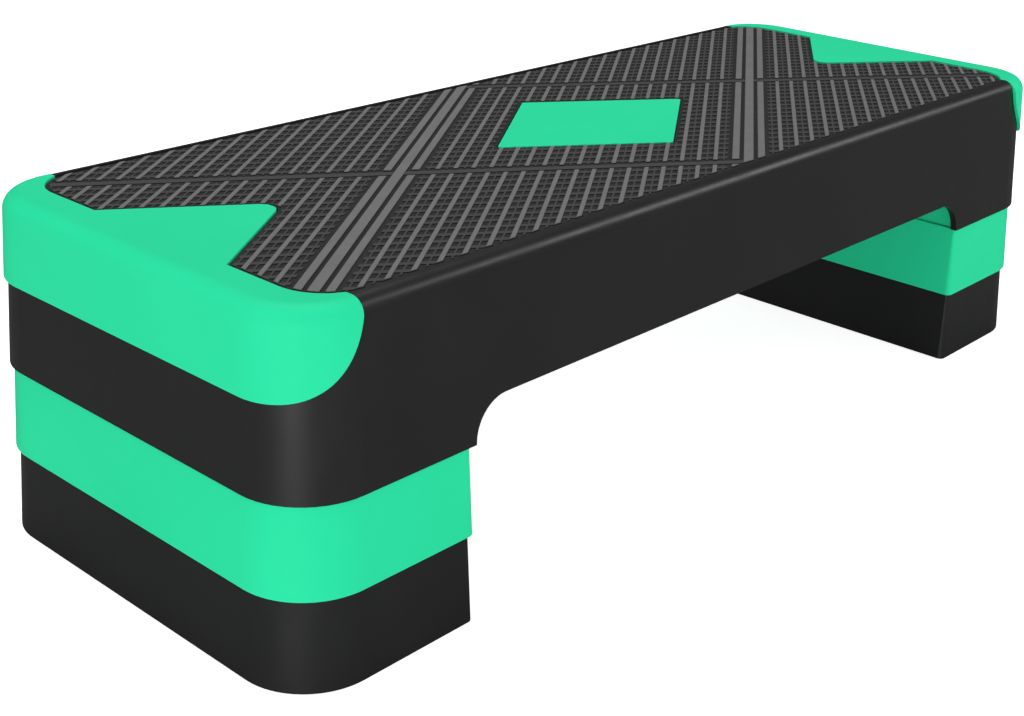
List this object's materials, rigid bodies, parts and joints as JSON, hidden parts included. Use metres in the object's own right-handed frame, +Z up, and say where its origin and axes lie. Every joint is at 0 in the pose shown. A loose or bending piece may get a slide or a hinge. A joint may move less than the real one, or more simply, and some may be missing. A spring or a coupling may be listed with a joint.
{
  "type": "aerobic step platform",
  "caption": "Low stepping platform: a long hollow deck with a ribbed rubber tread and moulded end caps, standing on stacked hollow risers at each end.",
  "frame": {"origin": "on the floor, below the middle of the deck", "axes": "+X along the deck towards its right end, +Y towards the back, +Z up"},
  "size_m": [0.726, 0.276, 0.2],
  "materials": {
    "black_plastic": "fine satin mould texture",
    "green_plastic": "satin",
    "tread_rubber": "matt rubber with worn-bright raised ribs",
    "pad_rubber": "matt rubber",
    "screw_steel": "zinc plated"
  },
  "bodies": {
    "left_base": {"left_base_riser": "black_plastic", "left_base_pad_front_outer": "pad_rubber", "left_base_pad_front_inner": "pad_rubber", "left_base_pad_back_outer": "pad_rubber", "left_base_pad_back_inner": "pad_rubber"},
    "left_upper": {"left_upper_riser": "green_plastic", "left_upper_pad_front_outer": "pad_rubber", "left_upper_pad_front_inner": "pad_rubber", "left_upper_pad_back_outer": "pad_rubber", "left_upper_pad_back_inner": "pad_rubber"},
    "deck": {"deck_shell": "black_plastic", "left_end_cap": "green_plastic", "right_end_cap": "green_plastic", "left_cap_screws": "screw_steel", "right_cap_screws": "screw_steel", "tread_mat": "tread_rubber", "centre_inlay": "green_plastic", "left_deck_pad_front_outer": "pad_rubber", "left_deck_pad_front_inner": "pad_rubber", "left_deck_pad_back_outer": "pad_rubber", "left_deck_pad_back_inner": "pad_rubber", "right_deck_pad_front_outer": "pad_rubber", "right_deck_pad_front_inner": "pad_rubber", "right_deck_pad_back_outer": "pad_rubber", "right_deck_pad_back_inner": "pad_rubber"},
    "right_upper": {"right_upper_riser": "green_plastic", "right_upper_pad_front_outer": "pad_rubber", "right_upper_pad_front_inner": "pad_rubber", "right_upper_pad_back_outer": "pad_rubber", "right_upper_pad_back_inner": "pad_rubber"},
    "right_base": {"right_base_riser": "black_plastic", "right_base_pad_front_outer": "pad_rubber", "right_base_pad_front_inner": "pad_rubber", "right_base_pad_back_outer": "pad_rubber", "right_base_pad_back_inner": "pad_rubber"}
  },
  "joints": [
    {"name": "upper_risers_lift", "type": "slide", "parent": "left_base", "child": "left_upper", "axis": [0, 0, 1], "range_m": [0, 0.06]},
    {"name": "deck_lift", "type": "slide", "parent": "left_upper", "child": "deck", "axis": [0, 0, 1], "range_m": [0, 0.06]},
    {"name": "right_upper_stays", "type": "slide", "parent": "deck", "child": "right_upper", "axis": [0, 0, -1], "range_m": [0, 0.06]},
    {"name": "right_base_stays", "type": "slide", "parent": "right_upper", "child": "right_base", "axis": [0, 0, -1], "range_m": [0, 0.06]}
  ],
  "couplings": [
    {"joint": "right_upper_stays", "follows": "deck_lift", "ratio": 1},
    {"joint": "right_base_stays", "follows": "upper_risers_lift", "ratio": 1}
  ]
}
